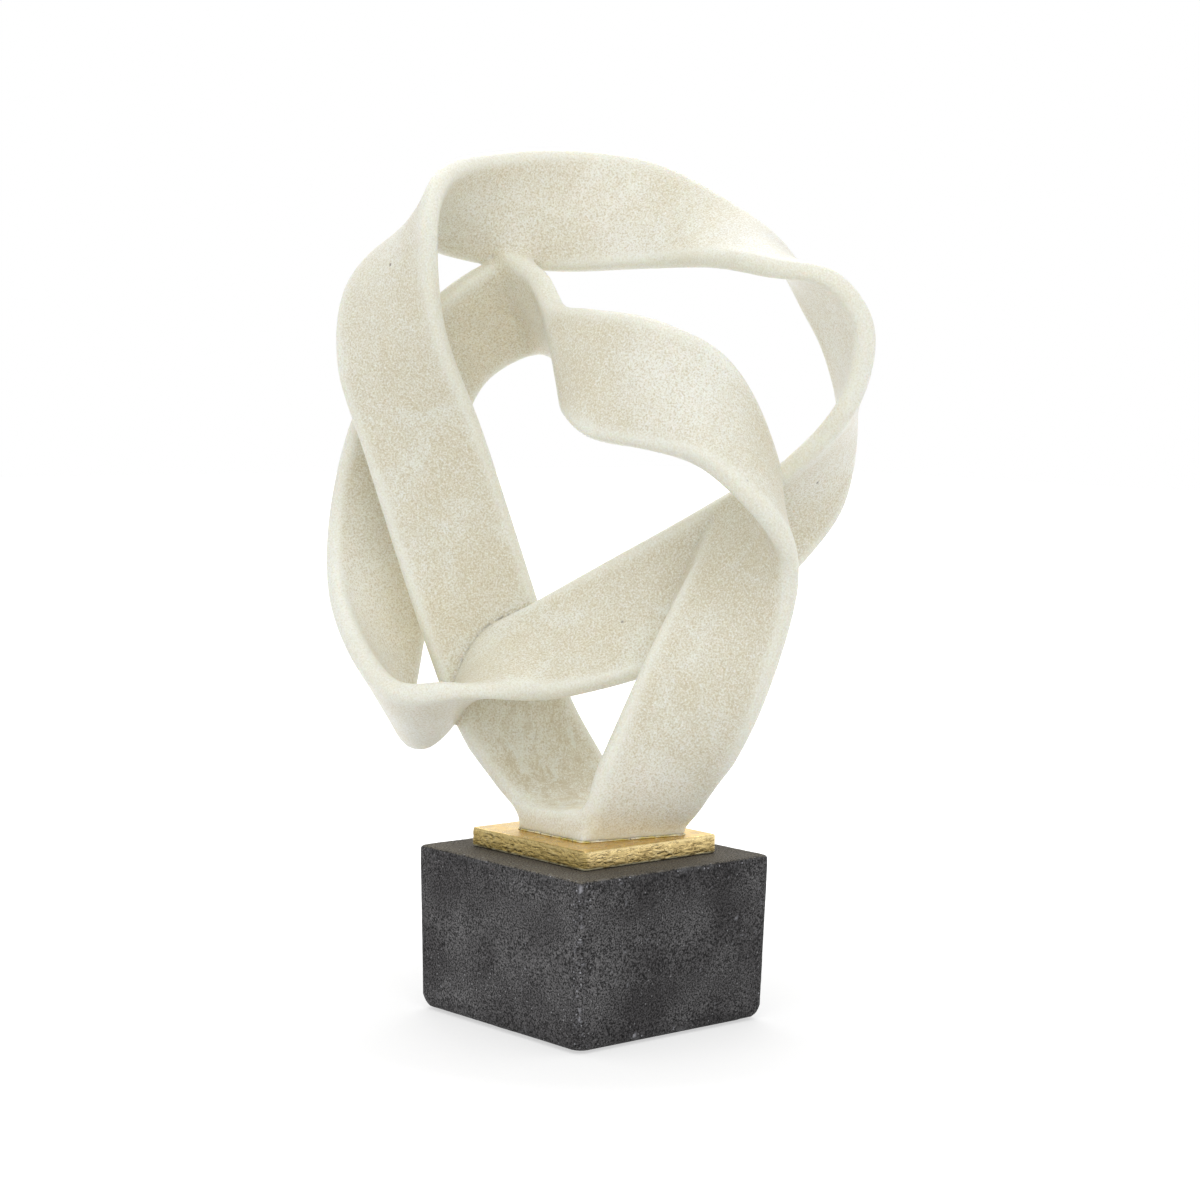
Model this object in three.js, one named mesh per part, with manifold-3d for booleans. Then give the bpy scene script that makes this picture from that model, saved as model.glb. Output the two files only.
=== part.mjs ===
// A loop sculpture: one closed band of cast quartz, turned over on itself, that stands on a
// gilded plate and a dark stone block. Millimetres, +Z up. The origin is the middle of the
// underside, +X runs along the block's right-hand front edge and +Y along its left-hand one.

import * as THREE from 'three';
import { mergeVertices } from 'three/addons/utils/BufferGeometryUtils.js';
import Module from 'manifold-3d';

const wasm = await Module();
wasm.setup();

// Driving dimensions

const JOINT_GAP = 0.3; // glue line under each piece that rests on another, and play round a stud

const FELT_THICKNESS = 1.2;
const FELT_INSET = 7; // from the block's bottom edges
const FELT_CORNER_RADIUS = 6;

const BLOCK_TOP_SIDE = 141;
const BLOCK_BOTTOM_SIDE = 137;
const BLOCK_HEIGHT = 92.5;
const BLOCK_CORNER_RADIUS = 3;
const BLOCK_TOP_ROUND = 1;
const BLOCK_BOTTOM_ROUND = 3;

const PLATE_SIDE = 98;
const PLATE_THICKNESS = 10.6;
const PLATE_CORNER_RADIUS = 2;
const PLATE_EDGE_ROUND = 1;

const STUD_DIAMETER = 8;
const STUD_SPACING = 36;
const STUD_DEPTH_IN_FOOT = 9;
const STUD_END_BELOW_NUT = 3;
const STUD_HOLE_PLAY = 1; // the holes in the plate and the block are this much wider than a stud
const WASHER_DIAMETER = 20;
const WASHER_THICKNESS = 2;
const NUT_ACROSS_FLATS = 13;
const NUT_THICKNESS = 6.5;
const COUNTERBORE_PLAY = 6; // a socket's way round the washer
const COUNTERBORE_DEPTH = 18;
const CUT_PAST = 1; // how far each drill runs past a face

const FOOT_WIDTH = 59; // between the middles of the foot's round corners
const FOOT_LENGTH = 51;
const FOOT_SKEW = 13; // the front right corner comes this much further forward
const FOOT_HEIGHT = 14; // up into the band
const FOOT_CORNER_RADIUS = 3;
const FOOT_FRONT_LEAN = [0.24, -0.34]; // along X and Y per unit up, as the front arm leans
const FOOT_BACK_LEAN = [-0.2, 0.4];
const FOOT_CORNER_SIDES = 12;

const ARCH_HEIGHT = 349; // from the gilded plate to the middle of the band at its highest
const BAND_WIDTH = 72;
const BAND_THICKNESS = 13;
const RING_SPACING = 12;
const LOFT_COUNT = 8; // the band is cast from this many lengths, fused where they meet or cross
const FAIRING_PASSES = 2;
const SAMPLES_PER_STATION = 10;
const ROUND_POINTS = 6; // points round each edge of the band's section
const FACE_POINTS = 2; // points on each flat face of it
const SLIVER_SIZE = 0.02; // slivers thinner than this, left by the fusing, are taken out
const ROUND_SIDES = 32; // flat sides of each stud, hole and washer

// The band's course, station by station: x, y and the height above the gilded plate of the middle
// of the band, which way its width points there (a turn about the upright axis from +X, then a
// tilt above the level, in degrees), and its width there as a share of BAND_WIDTH. The width's
// direction comes back turned over, so the band has one side and one edge.
const STATIONS = [
  [2, -15, 10, 180, 0, 1], // foot, lying across the plate
  [2, 13, 10, 180, -2, 1],
  [-1, 38, 28, 174, -14, 0.98], // left arm
  [-14, 55, 62, 163, -11, 0.98],
  [-26, 66, 104, 152, -7, 0.99],
  [-58, 86, 215, 134, -12, 0.98],
  [-77, 92, 268, 114, -12, 1],
  [-77, 92, 308, 95, -6, 0.99],
  [-61, 88, 339, 65, -17, 1], // shoulder, where the arm turns edge on
  [-40, 91, 347, 59, -43, 0.97],
  [-13, 86, 349, 70, -68, 0.95], // top arch, round the back
  [26, 66, 349, 170, -87, 1],
  [62, 30, 347, 215, -62, 0.97],
  [81, -11, 336, 218, -31, 0.92],
  [92, -42, 322, 222, -12, 0.93],
  [105, -64, 304, 234, 12, 1.02], // right-hand turn
  [114, -78, 279, 243, 10, 0.93],
  [117, -77, 239, 224, 6, 0.98],
  [105, -60, 196, 187, 10, 0.95],
  [89, -48, 176, 172, 23, 1], // cross arm, down to the left behind the front arm
  [35, -21, 131, 115, 56, 1.02],
  [-16, 21, 101, 76, 40, 0.97],
  [-44, 35, 92, 65, 20, 1], // its top edge is fused to the left arm
  [-69, 45, 70, 56, -22, 1.07], // scoop, banked round the left arm
  [-82, 61, 63, 41, -32, 1.03],
  [-80, 87, 71, 30, -37, 0.99],
  [-68, 116, 109, -5, -35, 1.02],
  [-49, 130, 172, -23, -14, 1], // up behind the left arm
  [-36, 126, 230, -9, -20, 0.97],
  [-14, 111, 273, 15, -38, 0.98],
  [12, 87, 294, 13, -51, 0.95], // its top edge is fused to the arch
  [8, 50, 284, -22, -64, 0.98],
  [-14, 16, 263, -113, -64, 1.02], // saddle, over to the right
  [-17, -13, 256, -140, -72, 1.05],
  [-7, -48, 251, -145, -76, 1.03],
  [14, -73, 238, -155, -57, 0.97],
  [33, -88, 208, -145, -29, 0.9], // front arm, whose far edge is fused to the cross arm
  [51, -88, 178, -127, -17, 0.98],
  [48, -76, 155, -95, -21, 0.98],
  [21, -64, 86, -54, -26, 0.96],
  [6, -41, 27, -16, -9, 1.05], // down to the foot
  [3, -32, 11, -12, -4, 1.02], // sharp bend into the foot
];

// Heights of the joints, from the floor up

const BLOCK_BOTTOM_Z = FELT_THICKNESS + JOINT_GAP;
const BLOCK_TOP_Z = BLOCK_BOTTOM_Z + BLOCK_HEIGHT;
const PLATE_BOTTOM_Z = BLOCK_TOP_Z + JOINT_GAP;
const SEAT_Z = PLATE_BOTTOM_Z + PLATE_THICKNESS + JOINT_GAP;

const COUNTERBORE_TOP_Z = BLOCK_BOTTOM_Z + COUNTERBORE_DEPTH;
const WASHER_BOTTOM_Z = COUNTERBORE_TOP_Z - JOINT_GAP - WASHER_THICKNESS;
const NUT_BOTTOM_Z = WASHER_BOTTOM_Z - JOINT_GAP - NUT_THICKNESS;
const STUD_BOTTOM_Z = NUT_BOTTOM_Z - STUD_END_BELOW_NUT;
const STUD_TOP_Z = SEAT_Z + STUD_DEPTH_IN_FOOT;

const STUD_CLOSE_RADIUS = STUD_DIAMETER / 2 + JOINT_GAP;
const STUD_HOLE_RADIUS = (STUD_DIAMETER + STUD_HOLE_PLAY) / 2;
const COUNTERBORE_RADIUS = (WASHER_DIAMETER + COUNTERBORE_PLAY) / 2;
const STUD_PLACES = { left: -STUD_SPACING / 2, right: STUD_SPACING / 2 };

const COURSE_SCALE = ARCH_HEIGHT / Math.max(...STATIONS.map((station) => station[2]));

// Finishes

const quartz = new THREE.MeshStandardMaterial({ color: 0xe6e0d0, roughness: 0.55, metalness: 0 });
const gold = new THREE.MeshStandardMaterial({ color: 0xb8954a, roughness: 0.4, metalness: 1 });
const stone = new THREE.MeshStandardMaterial({ color: 0x454343, roughness: 0.85, metalness: 0 });
const steel = new THREE.MeshStandardMaterial({ color: 0xb9bcc0, roughness: 0.35, metalness: 1 });
const felt = new THREE.MeshStandardMaterial({ color: 0x2a2a2a, roughness: 1, metalness: 0 });

// Solids: a closed geometry to join and cut, and back again

function toSolid(geometry) {
  const bare = geometry.clone();
  bare.deleteAttribute('normal');
  bare.deleteAttribute('uv');
  const merged = mergeVertices(bare);
  return new wasm.Manifold(new wasm.Mesh({
    numProp: 3,
    vertProperties: new Float32Array(merged.attributes.position.array),
    triVerts: new Uint32Array(merged.index.array),
  }));
}

function toGeometry(solid) {
  const mesh = solid.getMesh();
  const geometry = new THREE.BufferGeometry();
  geometry.setAttribute('position', new THREE.BufferAttribute(mesh.vertProperties, mesh.numProp));
  geometry.setIndex(new THREE.BufferAttribute(mesh.triVerts, 1));
  geometry.computeVertexNormals();
  return geometry;
}

// A skin through rings of points, each ring anticlockwise seen from the ring after it, with a flat
// cap at both ends.
function loft(rings) {
  const count = rings[0].length;
  const points = rings.flat().flatMap((p) => [p.x, p.y, p.z]);
  const triangles = [];
  for (let i = 0; i + 1 < rings.length; i += 1) {
    for (let j = 0; j < count; j += 1) {
      const a = i * count + j;
      const b = i * count + (j + 1) % count;
      triangles.push(a, b, b + count);
      triangles.push(a, b + count, a + count);
    }
  }
  // each cap is a zigzag that is the same when turned by half a turn
  const cap = [];
  for (let j = 0; 2 * j + 2 < count; j += 1) {
    cap.push([j, j + 1, count - 1 - j]);
    if (2 * j + 3 < count) cap.push([j + 1, count - 2 - j, count - 1 - j]);
  }
  const last = (rings.length - 1) * count;
  for (const [a, b, c] of cap) {
    triangles.push(a, c, b);
    triangles.push(last + a, last + b, last + c);
  }
  const geometry = new THREE.BufferGeometry();
  geometry.setAttribute('position', new THREE.Float32BufferAttribute(points, 3));
  geometry.setIndex(triangles);
  geometry.computeVertexNormals();
  return geometry;
}

function upright(radius, bottom, top, sides = ROUND_SIDES) {
  const geometry = new THREE.CylinderGeometry(radius, radius, top - bottom, sides);
  geometry.rotateX(Math.PI / 2);
  geometry.translate(0, 0, (bottom + top) / 2);
  return geometry;
}

// A square block with round corners and rounded top and bottom edges

function roundedSquare(side, radius, z) {
  const stepsPerCorner = 4;
  const ring = [];
  for (let corner = 0; corner < 4; corner += 1) {
    const middle = new THREE.Vector2(side / 2 - radius, side / 2 - radius);
    middle.rotateAround(new THREE.Vector2(), corner * Math.PI / 2);
    for (let k = 0; k <= stepsPerCorner; k += 1) {
      const angle = (corner + k / stepsPerCorner) * Math.PI / 2;
      const x = middle.x + radius * Math.cos(angle);
      const y = middle.y + radius * Math.sin(angle);
      ring.push(new THREE.Vector3(x, y, z));
    }
  }
  return ring;
}

function roundedBlock({ bottomSide, topSide, bottom, height, corner, bottomRound, topRound }) {
  const stepsPerEdge = 3;
  const sideAt = (z) => bottomSide + (topSide - bottomSide) * z / height;
  const rings = [];
  for (let k = 0; k <= stepsPerEdge; k += 1) {
    const angle = k / stepsPerEdge * Math.PI / 2;
    const z = bottomRound * (1 - Math.cos(angle));
    const inset = bottomRound * (1 - Math.sin(angle));
    const radius = Math.max(corner, bottomRound) - Math.min(inset, bottomRound / 2);
    rings.push(roundedSquare(sideAt(z) - 2 * inset, radius, bottom + z));
  }
  for (let k = 0; k <= stepsPerEdge; k += 1) {
    const angle = k / stepsPerEdge * Math.PI / 2;
    const z = height - topRound * (1 - Math.sin(angle));
    const inset = topRound * (1 - Math.cos(angle));
    rings.push(roundedSquare(sideAt(z) - 2 * inset, corner, bottom + z));
  }
  return loft(rings);
}

// The band's one edge, which goes round twice: once through the stations' ends on one side of the
// middle, and once through those on the other.

function edgePoints() {
  const near = [];
  const far = [];
  for (const [x, y, height, turn, tilt, share] of STATIONS) {
    const middle = new THREE.Vector3(x, y, height).multiplyScalar(COURSE_SCALE);
    middle.z += SEAT_Z;
    const half = new THREE.Vector3(BAND_WIDTH * share / 2, 0, 0);
    half.applyAxisAngle(new THREE.Vector3(0, 1, 0), -THREE.MathUtils.degToRad(tilt));
    half.applyAxisAngle(new THREE.Vector3(0, 0, 1), THREE.MathUtils.degToRad(turn));
    near.push(middle.clone().add(half));
    far.push(middle.clone().sub(half));
  }
  return [...near, ...far];
}

function fairEdge(points) {
  let edge = points;
  for (let pass = 0; pass < FAIRING_PASSES; pass += 1) {
    edge = edge.map((p, i) => {
      const before = edge.at(i - 1);
      const after = edge[(i + 1) % edge.length];
      return p.clone().multiplyScalar(2).add(before).add(after).divideScalar(4);
    });
  }
  return edge;
}

// Pairs of edge points across the band, evenly spaced along its middle

function bandPairs() {
  const curve = new THREE.CatmullRomCurve3(edgePoints(), true, 'centripetal');
  const samples = STATIONS.length * SAMPLES_PER_STATION;
  const raw = [];
  for (let i = 0; i < 2 * samples; i += 1) raw.push(curve.getPoint(i / (2 * samples)));
  const edge = fairEdge(raw);
  const pairs = [];
  for (let i = 0; i <= samples; i += 1) {
    pairs.push([edge[i], edge[(i + samples) % (2 * samples)]]);
  }
  const middles = pairs.map(([a, b]) => a.clone().add(b).divideScalar(2));
  const lengths = [0];
  for (let i = 1; i <= samples; i += 1) {
    lengths.push(lengths[i - 1] + middles[i].distanceTo(middles[i - 1]));
  }
  const total = lengths[samples];
  const rings = LOFT_COUNT * Math.round(total / RING_SPACING / LOFT_COUNT);
  const even = [];
  let i = 0;
  for (let k = 0; k < rings; k += 1) {
    const along = total * k / rings;
    while (lengths[i + 1] < along) i += 1;
    const share = (along - lengths[i]) / (lengths[i + 1] - lengths[i]);
    even.push([0, 1].map((side) => pairs[i][side].clone().lerp(pairs[i + 1][side], share)));
  }
  return even;
}

// The section: two flat faces between half-round edges, the same when turned by half a turn

function sectionAt([near, far], tangent) {
  const middle = near.clone().add(far).divideScalar(2);
  const across = near.clone().sub(far);
  const radius = BAND_THICKNESS / 2;
  const flat = across.length() / 2 - radius;
  across.normalize();
  const through = tangent.clone().cross(across).normalize();
  const place = (u, v) => middle.clone().addScaledVector(across, u).addScaledVector(through, v);
  const ring = [];
  for (const side of [1, -1]) {
    for (let k = 0; k < ROUND_POINTS; k += 1) {
      const angle = (k / (ROUND_POINTS - 1) - 0.5) * Math.PI;
      const u = flat + radius * Math.cos(angle);
      ring.push(place(side * u, side * radius * Math.sin(angle)));
    }
    for (let k = 1; k <= FACE_POINTS; k += 1) {
      ring.push(place(side * flat * (1 - 2 * k / (FACE_POINTS + 1)), side * radius));
    }
  }
  return ring;
}

function bandSolid() {
  const pairs = bandPairs();
  const middles = pairs.map(([near, far]) => near.clone().add(far).divideScalar(2));
  const rings = pairs.map((pair, i) => {
    const tangent = middles[(i + 1) % pairs.length].clone().sub(middles.at(i - 1));
    return sectionAt(pair, tangent);
  });
  // the band meets its own start turned over
  const start = rings[0];
  const half = start.length / 2;
  rings.push([...start.slice(half), ...start.slice(0, half)]);
  const perLength = pairs.length / LOFT_COUNT;
  const lengths = [];
  for (let i = 0; i < LOFT_COUNT; i += 1) {
    const ends = [i * perLength, (i + 1) * perLength + 1];
    lengths.push(toSolid(loft(rings.slice(...ends))));
  }
  return lengths.reduce((band, length) => band.add(length));
}

// The foot: a low block under the band's lowest bend, drawn tight round a leaning post at each corner

function footSolid() {
  const front = -FOOT_LENGTH / 2;
  const right = FOOT_WIDTH / 2;
  const posts = [
    { x: -right, y: front, lean: FOOT_FRONT_LEAN },
    { x: right, y: front - FOOT_SKEW, lean: FOOT_FRONT_LEAN },
    { x: right, y: -front, lean: FOOT_BACK_LEAN },
    { x: -right, y: -front, lean: FOOT_BACK_LEAN },
  ];
  const skin = [];
  for (const { x, y, lean } of posts) {
    for (const height of [0, FOOT_HEIGHT]) {
      const middle = new THREE.Vector2(x + lean[0] * height, y + lean[1] * height);
      for (let k = 0; k < FOOT_CORNER_SIDES; k += 1) {
        const angle = 2 * Math.PI * k / FOOT_CORNER_SIDES;
        const out = new THREE.Vector2(FOOT_CORNER_RADIUS, 0).rotateAround(new THREE.Vector2(), angle);
        skin.push([middle.x + out.x, middle.y + out.y, SEAT_Z + height]);
      }
    }
  }
  return wasm.Manifold.hull(skin);
}

// The pieces

const sculpture = new THREE.Group();

function addPiece(name, geometry, material, x = 0, y = 0) {
  const mesh = new THREE.Mesh(geometry, material);
  mesh.name = name;
  mesh.position.set(x, y, 0);
  sculpture.add(mesh);
}

function drill(solid, radius, bottom, top) {
  let drilled = solid;
  for (const x of Object.values(STUD_PLACES)) {
    const hole = upright(radius, bottom, top);
    hole.translate(x, 0, 0);
    drilled = drilled.subtract(toSolid(hole));
  }
  return drilled;
}

const castLoop = bandSolid().add(footSolid());
const loop = drill(castLoop, STUD_CLOSE_RADIUS, SEAT_Z - CUT_PAST, STUD_TOP_Z + JOINT_GAP);
addPiece('quartz_loop', toGeometry(loop.simplify(SLIVER_SIZE)), quartz);

const plateBlank = toSolid(roundedBlock({
  bottomSide: PLATE_SIDE,
  topSide: PLATE_SIDE,
  bottom: PLATE_BOTTOM_Z,
  height: PLATE_THICKNESS,
  corner: PLATE_CORNER_RADIUS,
  bottomRound: PLATE_EDGE_ROUND,
  topRound: PLATE_EDGE_ROUND,
}));
const plate = drill(plateBlank, STUD_HOLE_RADIUS, PLATE_BOTTOM_Z - CUT_PAST, SEAT_Z + CUT_PAST);
addPiece('gilded_plate', toGeometry(plate), gold);

const blockBlank = toSolid(roundedBlock({
  bottomSide: BLOCK_BOTTOM_SIDE,
  topSide: BLOCK_TOP_SIDE,
  bottom: BLOCK_BOTTOM_Z,
  height: BLOCK_HEIGHT,
  corner: BLOCK_CORNER_RADIUS,
  bottomRound: BLOCK_BOTTOM_ROUND,
  topRound: BLOCK_TOP_ROUND,
}));
const blockStart = BLOCK_BOTTOM_Z - CUT_PAST;
const boredBlock = drill(blockBlank, STUD_HOLE_RADIUS, blockStart, BLOCK_TOP_Z + CUT_PAST);
const block = drill(boredBlock, COUNTERBORE_RADIUS, blockStart, COUNTERBORE_TOP_Z);
addPiece('base_block', toGeometry(block), stone);

function washerGeometry() {
  const inner = STUD_CLOSE_RADIUS;
  const outer = WASHER_DIAMETER / 2;
  const low = [new THREE.Vector2(inner, 0), new THREE.Vector2(outer, 0)];
  const lift = new THREE.Vector2(0, WASHER_THICKNESS);
  const high = low.map((corner) => corner.clone().add(lift)).reverse();
  const geometry = new THREE.LatheGeometry([...low, ...high, low[0]], ROUND_SIDES);
  geometry.rotateX(Math.PI / 2);
  geometry.translate(0, 0, WASHER_BOTTOM_Z);
  return geometry;
}

function nutGeometry() {
  const top = NUT_BOTTOM_Z + NUT_THICKNESS;
  const hexagon = upright(NUT_ACROSS_FLATS / Math.sqrt(3), NUT_BOTTOM_Z, top, 6);
  const bore = upright(STUD_CLOSE_RADIUS, NUT_BOTTOM_Z - CUT_PAST, top + CUT_PAST);
  return toGeometry(toSolid(hexagon).subtract(toSolid(bore)));
}

for (const [side, x] of Object.entries(STUD_PLACES)) {
  addPiece(`stud_${side}`, upright(STUD_DIAMETER / 2, STUD_BOTTOM_Z, STUD_TOP_Z), steel, x);
  addPiece(`stud_washer_${side}`, washerGeometry(), steel, x);
  addPiece(`stud_nut_${side}`, nutGeometry(), steel, x);
}

const feltSide = BLOCK_BOTTOM_SIDE - 2 * FELT_INSET;
const feltBlank = loft([
  roundedSquare(feltSide, FELT_CORNER_RADIUS, 0),
  roundedSquare(feltSide, FELT_CORNER_RADIUS, FELT_THICKNESS),
]);
const feltSheet = drill(toSolid(feltBlank), COUNTERBORE_RADIUS, -CUT_PAST, FELT_THICKNESS + CUT_PAST);
addPiece('base_felt', toGeometry(feltSheet), felt);

export default sculpture;
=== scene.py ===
import math

import bmesh
import bpy
import numpy as np
from mathutils import Matrix, Vector, noise


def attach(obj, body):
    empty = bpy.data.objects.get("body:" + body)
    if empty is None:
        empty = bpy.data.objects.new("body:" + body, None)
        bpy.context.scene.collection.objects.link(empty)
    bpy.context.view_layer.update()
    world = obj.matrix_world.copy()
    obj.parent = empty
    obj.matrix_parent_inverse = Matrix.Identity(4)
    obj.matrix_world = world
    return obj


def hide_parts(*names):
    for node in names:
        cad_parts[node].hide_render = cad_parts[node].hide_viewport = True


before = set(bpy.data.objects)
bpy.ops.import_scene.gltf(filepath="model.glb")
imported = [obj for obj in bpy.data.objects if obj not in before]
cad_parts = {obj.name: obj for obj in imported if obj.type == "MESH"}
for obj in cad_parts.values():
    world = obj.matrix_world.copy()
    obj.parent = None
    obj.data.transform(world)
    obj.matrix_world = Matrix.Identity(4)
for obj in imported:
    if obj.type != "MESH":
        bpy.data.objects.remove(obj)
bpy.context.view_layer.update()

MM = 0.001  # shapes are worked out in millimetres, and the scene is in metres

# The band takes the course of the part's own source, but is a hair narrower and thinner, so
# that its softened skin stays inside the solid's box
SEAT_HEIGHT = 105.2  # the top of the gilded plate
BAND_WIDTH = 70.1
BAND_THICKNESS = 12.6
EDGE_SQUARENESS = 2.5  # 2 is a full-round edge, and more is squarer
STATIONS = [
    # x, y, height above the plate, turn and tilt of the width in degrees, share of the width
    (2, -15, 10, 180, 0, 1),  # foot
    (2, 13, 10, 180, -2, 1),
    (-1, 38, 28, 174, -14, 1.01),  # left arm
    (-14, 55, 62, 163, -11, 1.01),
    (-26, 66, 104, 152, -7, 1.01),
    (-58, 86, 215, 134, -12, 0.98),
    (-77, 92, 268, 114, -12, 1),
    (-77, 92, 308, 95, -6, 0.99),
    (-61, 88, 339, 65, -17, 1),  # shoulder
    (-40, 91, 347, 59, -43, 0.97),
    (-13, 86, 349, 70, -68, 0.95),  # top arch
    (26, 66, 349, 170, -87, 1),
    (62, 30, 347, 215, -62, 0.97),
    (81, -11, 336, 218, -31, 0.92),
    (92, -42, 322, 222, -12, 0.93),
    (105, -64, 304, 234, 12, 1.02),  # right-hand turn
    (114, -78, 279, 243, 10, 0.93),
    (117, -77, 239, 224, 6, 0.98),
    (105, -60, 196, 187, 10, 0.95),
    (89, -48, 176, 172, 23, 1),  # cross arm
    (35, -21, 131, 115, 56, 1.02),
    (-16, 21, 101, 76, 40, 0.97),
    (-44, 35, 92, 65, 20, 1),
    (-69, 45, 70, 56, -22, 1.07),  # scoop
    (-82, 61, 63, 41, -32, 1.03),
    (-80, 87, 71, 30, -37, 0.99),
    (-68, 116, 109, -5, -35, 1.02),
    (-49, 130, 172, -23, -14, 1),  # up behind the left arm
    (-36, 126, 230, -9, -20, 0.97),
    (-14, 111, 273, 15, -38, 0.98),
    (12, 87, 294, 13, -51, 0.95),
    (8, 50, 284, -22, -64, 0.98),
    (-14, 16, 263, -113, -64, 1.02),  # saddle
    (-17, -13, 256, -140, -72, 1.05),
    (-7, -48, 251, -145, -76, 1.03),
    (14, -73, 238, -155, -57, 0.97),
    (33, -88, 208, -145, -29, 0.9),  # front arm
    (51, -88, 178, -127, -17, 0.98),
    (48, -76, 155, -95, -21, 1.01),
    (21, -64, 86, -54, -26, 1),
    (6, -41, 27, -16, -9, 1.05),
    (3, -32, 11, -12, -4, 1.02),  # sharp bend into the foot
]
FAIRING_PASSES = 2
SAMPLES_PER_STATION = 10
RING_SPACING = 4.0
POINTS_PER_FACE = 12
POINTS_PER_ROUND = 10

FOOT_FRONT, FOOT_BACK = -25.5, 25.5
FOOT_LEFT, FOOT_RIGHT = -29.5, 29.5
FOOT_SKEW = 13.0  # the front right corner comes this much further forward
FOOT_HEIGHT = 14.0
FOOT_FRONT_LEAN = (0.24, -0.34)  # along X and Y for each millimetre up
FOOT_BACK_LEAN = (-0.2, 0.4)
FOOT_CORNER_RADIUS = 3.0
FOOT_CORNER_SIDES = 16
FOOT_CORNERS = [
    # x, y on the plate, and the lean along X and Y
    (FOOT_LEFT, FOOT_FRONT, *FOOT_FRONT_LEAN),
    (FOOT_RIGHT, FOOT_FRONT - FOOT_SKEW, *FOOT_FRONT_LEAN),
    (FOOT_RIGHT, FOOT_BACK, *FOOT_BACK_LEAN),
    (FOOT_LEFT, FOOT_BACK, *FOOT_BACK_LEAN),
]

# Webs of stone in the corners where the band meets itself: the middles of small balls whose
# hull is the web
WEB_RADIUS = 3.0
WEB_SIDES = 8
FRONT_WEB = [
    (62, -43, 293), (55, -41, 287), (48, -36, 268), (42, -31, 250), (36, -25, 232),  # cross arm
    (60, -67, 290), (57, -63, 280), (48, -58, 268), (38, -46, 256), (29, -44, 244),  # front arm
    (21, -42, 231),
]
SADDLE_WEB = [
    (-6, 88, 432), (2, 82, 430), (8, 77, 427),  # in the top arch
    (-7, 79, 421), (-5, 68, 421), (-5, 57, 418), (-3, 50, 415),  # in the saddle
]
UNDER_WEB = [
    (4, 85, 404), (11, 82, 395), (17, 78, 386),  # in the back band
    (-4, 64, 410), (-1, 58, 402), (2, 53, 393),  # in the saddle
]

LOOP_VOXEL = 1.0
LOOP_SMOOTHING = 8
SMOOTHING_STEP = 0.5

# The foot's sides are blended into the arms between these heights above the plate
FOOT_BLEND_FROM, FOOT_BLEND_TO = 1.0, 42.0
FOOT_BLEND_FADES = 5.0, 15.0
FOOT_BLEND_UPWARD = 0.5  # surfaces that face up by more than this are left as they are
FOOT_BLEND_UPWARD_FADE = 0.3
FOOT_BLEND_SHARE = 0.6
FOOT_BLEND_ROUNDS = 120

FILLETS = [
    # place in mm, how far the fillet reaches, and how often it is rounded out
    ((-3, 66, 424), 38, 160),  # where the saddle touches the top arch
    ((44, -42, 266), 55, 160),  # where the front arm crosses the cross arm
]
FILLET_BATCH = 10  # the surface's directions are worked out anew after this many rounds

# What the quartz is coloured by: how far the bend of its surface is evened out for each
BEND_ROUNDS = {"seam": 1, "hollow": 8, "rim": 40}

# The camera, fitted to the photograph
CAMERA_AZIMUTH = -41.3
CAMERA_ELEVATION = 5.0
CAMERA_ROLL = 1.05
CAMERA_DISTANCE = 1.510
CAMERA_LENS = 81.0
AIM_HEIGHT = 0.2352
AIM_RIGHT = 0.0011


# Meshes

def new_object(name, data):
    obj = bpy.data.objects.new(name, data)
    bpy.context.scene.collection.objects.link(obj)
    return obj


def shade_smooth(mesh):
    mesh.polygons.foreach_set("use_smooth", [True] * len(mesh.polygons))


def new_mesh(name, points, faces):
    """A mesh from points in millimetres."""
    mesh = bpy.data.meshes.new(name)
    mesh.from_pydata((points * MM).tolist(), [], faces)
    return mesh


def applied(obj, name):
    """A new object with the modifiers of obj made real; obj itself is deleted."""
    depsgraph = bpy.context.evaluated_depsgraph_get()
    mesh = bpy.data.meshes.new_from_object(obj.evaluated_get(depsgraph))
    mesh.name = name
    bpy.data.objects.remove(obj)
    shade_smooth(mesh)
    return new_object(name, mesh)


def remeshed(obj, name, voxel, smoothing):
    """The object's closed skins fused and meshed anew in even squares, then softened."""
    remesh = obj.modifiers.new("fuse", "REMESH")
    remesh.mode = "VOXEL"
    remesh.voxel_size = voxel * MM
    smooth = obj.modifiers.new("soften", "SMOOTH")
    smooth.factor = SMOOTHING_STEP
    smooth.iterations = smoothing
    return applied(obj, name)


def copy_of_node(name):
    """A free copy of a node's solid, for a finer skin of the same size."""
    return new_object(name + "_copy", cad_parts[name].data.copy())


def vertex_vectors(mesh, name):
    values = np.empty(len(mesh.vertices) * 3)
    mesh.vertices.foreach_get(name, values)
    return values.reshape(-1, 3)


def coordinates(mesh):
    """Where each vertex is, in metres."""
    return vertex_vectors(mesh, "co")


def normals(mesh):
    """Which way the surface faces at each vertex."""
    return vertex_vectors(mesh, "normal")


def move_points(mesh, points):
    mesh.vertices.foreach_set("co", points.ravel())
    mesh.update()


def edge_ends(mesh):
    """The vertices at one end of all the edges, and those at the other."""
    ends = np.empty(len(mesh.edges) * 2, int)
    mesh.edges.foreach_get("vertices", ends)
    return ends.reshape(-1, 2).T


def mean_over(ends, total):
    """A function that gives, for values at the vertices, their mean over each one's neighbours."""
    a, b = ends
    count = np.maximum(np.bincount(a, minlength=total) + np.bincount(b, minlength=total), 1)

    def mean(values):
        columns = values.reshape(total, -1).T
        sums = [np.bincount(a, c[b], total) + np.bincount(b, c[a], total) for c in columns]
        return (np.stack(sums, 1) / count[:, None]).reshape(values.shape)

    return mean


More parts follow.
